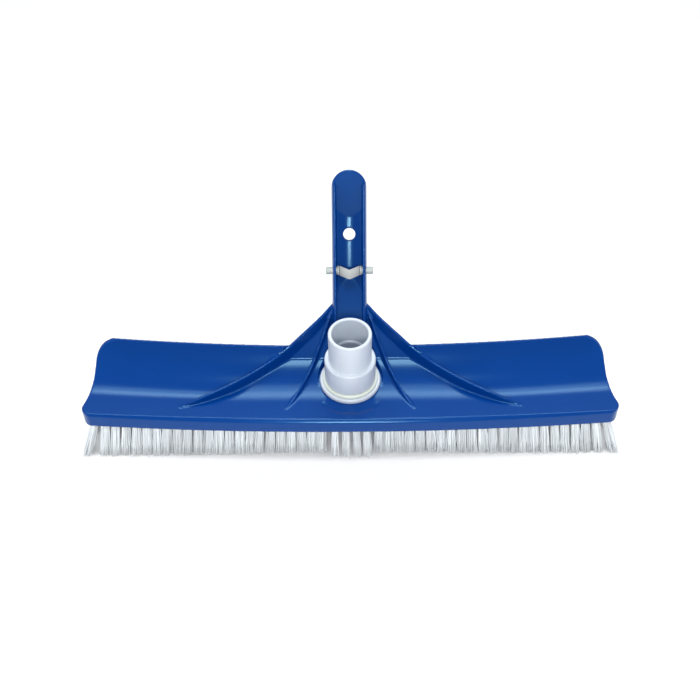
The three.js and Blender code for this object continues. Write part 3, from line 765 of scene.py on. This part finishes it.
# ---------------------------------------------------------------- bristles
def tip_place(x):
    """Where the middle of a tuft's tips lies: fanned out, and splayed more at the brush's ends."""
    beyond = max(0.0, abs(x) - SPLAY_FROM) / SPLAY_RUN
    return x * TUFT_FAN + math.copysign(SPLAY * beyond ** 2, x)


def tip_level(x):
    """Height of a tuft's tips."""
    return TIP_LEVEL + TIP_RISE * max(0, 1 - abs(x) / RISE_REACH)


def filament(dice, root_at, tip_at, spot, width):
    """Root, tip and bow of one filament, whose spot in the tuft is given on a unit disc."""
    stray, wild_share, wild = 0.45, 0.05, 3.2  # how far tips wander, and how many wander this much more
    ragged, short_share, shorter = 0.8, 0.2, (0.3, 2.0)
    bend, margin = 0.25, 0.5
    aside, along = width * spot[0], spot[1]
    root = np.array([root_at[0] + ROOT_SPREAD[0] * aside, root_at[1] + ROOT_SPREAD[1] * along, root_at[2]])
    loose = dice.normal(0, stray, 2)
    if dice.random() < wild_share:
        loose *= wild
    short = dice.uniform(0, ragged) + (dice.random() < short_share) * dice.uniform(*shorter)
    reach = CAD_BOX[1][0] / MM - margin
    tip_x = np.clip(tip_at[0] + TIP_SPREAD[0] * aside + loose[0], -reach, reach)
    tip = np.array([tip_x, tip_at[1] + TIP_SPREAD[1] * along + loose[1], tip_at[2] + short])
    bow = np.array([*dice.normal(0, bend, 2), 0])
    return root, tip, bow


def rod(points, faces, root, tip, bow):
    """Adds one bowed, slightly tapered rod to the points and faces, and says how many points it took."""
    sides, rings = 4, 4
    thick, taper = (0.29 if FINE else 0.42), 0.12
    turn = 2 * np.pi * np.arange(sides) / sides
    ring = np.stack([np.cos(turn), np.sin(turn), np.zeros(sides)], 1)
    start = len(points)
    for j in range(rings):
        t = j / (rings - 1)
        centre = root * (1 - t) + tip * t + bow * 4 * t * (1 - t)
        points.extend(centre + ring * thick * (1 - taper * t))
    for j in range(rings - 1):
        for i in range(sides):
            here, beside = start + j * sides + i, start + j * sides + (i + 1) % sides
            faces.append((here, beside, beside + sides, here + sides))
    last = start + (rings - 1) * sides
    faces.append(tuple(last + i for i in range(sides)))
    faces.append(tuple(start + sides - 1 - i for i in range(sides)))
    return sides * rings


def tufts(name, places, y, level=None, lean=None, width=1.0):
    """Tufts of filaments that spread towards their ragged tips, each with a tone of its own."""
    dice = np.random.default_rng(sum(map(ord, name)))
    per_tuft = 72 if FINE else 24
    count = int(width * per_tuft)
    root_level = -LIP_HEIGHT + 0.6
    shift, tuft_tones, filament_tones = 0.4, (0.93, 1.03), (0.84, 1.1)
    points, faces, tones = [], [], []
    for n, x in enumerate(places):
        tip_x = tip_place(x) + dice.normal(0, shift)
        if lean is not None:
            tip_x = x + lean[n]
        low = level if level is not None else tip_level(x)
        shade = dice.uniform(*tuft_tones)
        for k in range(count):
            far = math.sqrt((k + 0.5) / count)
            angle = k * GOLDEN_ANGLE + n
            spot = (far * math.cos(angle), far * math.sin(angle))
            root, tip, bow = filament(dice, (x, y, root_level), (tip_x, y, low), spot, width)
            used = rod(points, faces, root, tip, bow)
            tones.extend([shade * dice.uniform(*filament_tones)] * used)
    mesh = bpy.data.meshes.new(name)
    mesh.from_pydata([tuple(p) for p in points], [], faces)
    tone = mesh.attributes.new("tone", "FLOAT", "POINT")
    tone.data.foreach_set("value", np.array(tones, np.float32))
    thing = bpy.data.objects.new(name, mesh)
    bpy.context.scene.collection.objects.link(thing)
    return smooth(turned(thing, TO_WORLD))


def all_tufts():
    """Five rows on each side, the third in two pieces round a screw, and four tufts in the middle."""
    places = [tuft_place(i) for i in range(TUFT_COUNT)]
    for side, sign in (("left", -1), ("right", 1)):
        for row, y in enumerate(TUFT_ROWS, 1):
            parts = {"": places}
            if row == 3:
                parts = {"_inner": places[:SCREW_TUFT], "_outer": places[SCREW_TUFT + 1:-1]}
            for end, chosen in parts.items():
                piece = tufts(f"tufts_{row}_{side}{end}", [sign * x for x in chosen], y)
                dress(piece, "root", "bristle_nylon", [f"bristle_row_{row}_{side}{end}"])
    middle = [TUFT_PITCH * (i - 1.5) for i in range(len(CENTRE_LEAN))]
    piece = tufts("tufts_1_centre", middle, CENTRE_Y, CENTRE_LEVEL, CENTRE_LEAN, CENTRE_WIDTH)
    dress(piece, "root", "bristle_nylon", ["bristle_row_1_centre"])


# ---------------------------------------------------------------- hose connector
def connector():
    """Four turned pieces: the flange with its socket, the loose ring, the stepped cuff and its seal."""
    rim, socket_in, socket_out = 15.6, 16.6, 18.1
    flange = rounded([
        (rim, 0.6, 0), (rim, 3, 0.3), (22.6, 3, 0.9), (FLANGE_RADIUS, 1.9, 0.8), (FLANGE_RADIUS, 0, 0.3),
        (socket_out, 0, 0.2), (socket_out, SOCKET_BOTTOM, 0.2), (socket_in, SOCKET_BOTTOM, 0.2),
        (socket_in, -0.4, 0.2), (rim, 0.6, 0)])
    ring_low, ring_high = 3.3, 5.2
    ring = rounded([
        (18, ring_low, 0), (rim, ring_low, 0.2), (rim, ring_high, 0.2), (20.9, ring_high, 1.0),
        (RING_RADIUS, ring_low, 0.2), (18, ring_low, 0)])
    foot, skirt, ledge = -7.6, 5.5, 30
    groove, groove_high, groove_low = 14.3, -1.9, -5
    hook, hook_high = 17.4, -6.5
    cuff = rounded([
        (13, foot, 0), (LEDGE_RADIUS, foot, 0.4), (LEDGE_RADIUS, ledge, 0.6),
        (BORE_RADIUS, ledge + 1.3, 0.3), (BORE_RADIUS, NECK_TOP, 1.3),
        (NECK_RADIUS, NECK_TOP, 1.5), (NECK_RADIUS, STEP_TOP, 0.7),
        (STEP_RADIUS, STEP_TOP, 2.2), (STEP_RADIUS, skirt, 0.4), (SLEEVE_RADIUS, skirt, 0.2),
        (SLEEVE_RADIUS, groove_high, 0.1), (groove, groove_high, 0.1), (groove, groove_low, 0.1),
        (SLEEVE_RADIUS, groove_low, 0.1), (SLEEVE_RADIUS, hook_high, 0.1), (hook, hook_high, 0.2),
        (16.4, foot, 0.2), (13, foot, 0)], 8)
    seal = arc((15.45, (groove_high + groove_low) / 2), 0.85, 0, 2 * math.pi, 16)
    for name, profile, body, slot, node in (
            ("flange", flange, "root", "hose_white", "socket_flange"),
            ("slide_ring", ring, "root", "ring_cream", "bearing_ring"),
            ("hose_cuff", cuff, "cuff", "hose_white", "swivel_cuff"),
            ("seal_ring", seal, "cuff", "seal_rubber", "cuff_o_ring")):
        piece = turned(turned(lathe(name, profile[:-1], 128), ON_SPIGOT), TO_WORLD)
        dress(smooth(piece, 50), body, slot, [node])


# ---------------------------------------------------------------- snap clip
def clip_arm(name, sign):
    """Half of the V strip: from the apex out to the tab behind the pin."""
    half, thick, forward = 7.6, 1.1, -5.0
    tall, droop, ease, flat = 3.6, 2.5, 0.3, 0.6
    tab = half - 0.5
    line = [(0, forward), (half - 1.6, -1.4), (tab, -0.4), (tab, 1.2)]
    path = smooth_path([(sign * x, y, 0) for x, y in line], 5)
    section = [(1, tall - ease), (flat, tall), (-flat, tall), (-1, tall - ease),
               (-1, -tall + ease), (-flat, -tall), (flat, -tall), (1, -tall + ease)]
    loops = []
    for i, here in enumerate(path):
        square = Vector((0, sign, 0)) if i == 0 else sideways(path, i)
        side = square * thick / 2
        drop = droop * (1 - min(1, abs(here.x) / half))
        loops.append([here + side * f + Vector((0, 0, z - drop)) for f, z in section])
    strip = loft(name, loops)
    return smooth(turned(turned(strip, ON_HANDLE @ Matrix.Translation((0, 0, HANDLE_ABOVE - CLIP_DOWN))),
                         TO_WORLD), 40)


def snap_clip():
    """The two pins and the V strip, drawn as two halves set on the handle."""
    radius, nose, shoulder, head, end = 2.9, 2.4, -9.1, 3.6, -10.2
    reach = 18.1
    pin = rounded([(0, 0, 0), (radius, 0, nose), (radius, shoulder, 0.1), (head, shoulder, 0.2),
                   (head, end, 0.2), (0, end, 0)], 8)
    for side, sign in (("left", -1), ("right", 1)):
        button = lathe(f"{side}_pin", pin, 64)
        turned(button, ON_HANDLE @ Matrix.Translation((sign * reach, 0, HANDLE_ABOVE - CLIP_DOWN))
               @ Matrix.Rotation(sign * math.pi / 2, 4, "Y"))
        dress(smooth(turned(button, TO_WORLD), 40), f"{side}_pin", "button_plastic", [f"{side}_button"])
        arm = clip_arm(f"clip_{side}_arm", sign)
        arm.data.materials.append(PAINTS["clip_plastic"])
        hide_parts("clip_spring")
        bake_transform(arm)


# ---------------------------------------------------------------- making everything
camera()
studio()
white_floor()

PAINTS = {
    "body_blue": plastic("body_blue", (0.0002, 0.034, 0.205), 0.18,
                         tint=(0.28, 0.78, 1), sheen=0.3, coat=0.1),
    "block_blue": plastic("block_blue", (0.006, 0.05, 0.25), 0.5),
    "hose_white": plastic("hose_white", (0.53, 0.58, 0.65), 0.3, shift=0.02),
    "ring_cream": plastic("ring_cream", (0.62, 0.67, 0.60), 0.4, shift=0.02),
    "clip_plastic": plastic("clip_plastic", (0.44, 0.45, 0.44), 0.35),
    "button_plastic": plastic("button_plastic", (0.42, 0.46, 0.44), 0.3, shift=0.02),
    "bristle_nylon": nylon(),
    "seal_rubber": plastic("seal_rubber", (0.02, 0.02, 0.022), 0.7),
    "screw_steel": plastic("screw_steel", (0.6, 0.6, 0.6), 0.3)}

for part in frame["record"]["subparts"]:
    node = frame["nodes"][part["node"]]
    node.data.materials.clear()
    node.data.materials.append(PAINTS[part["material_slot"]])

dress(moulding(), "root", "body_blue", ["body_shell"])
dress(block(), "root", "block_blue", ["bristle_block"])
for screw_node, (at_x, at_y) in SCREWS.items():
    dress(screw(screw_node.replace("block_", ""), at_x, at_y), "root", "screw_steel", [screw_node])
all_tufts()
connector()
snap_clip()
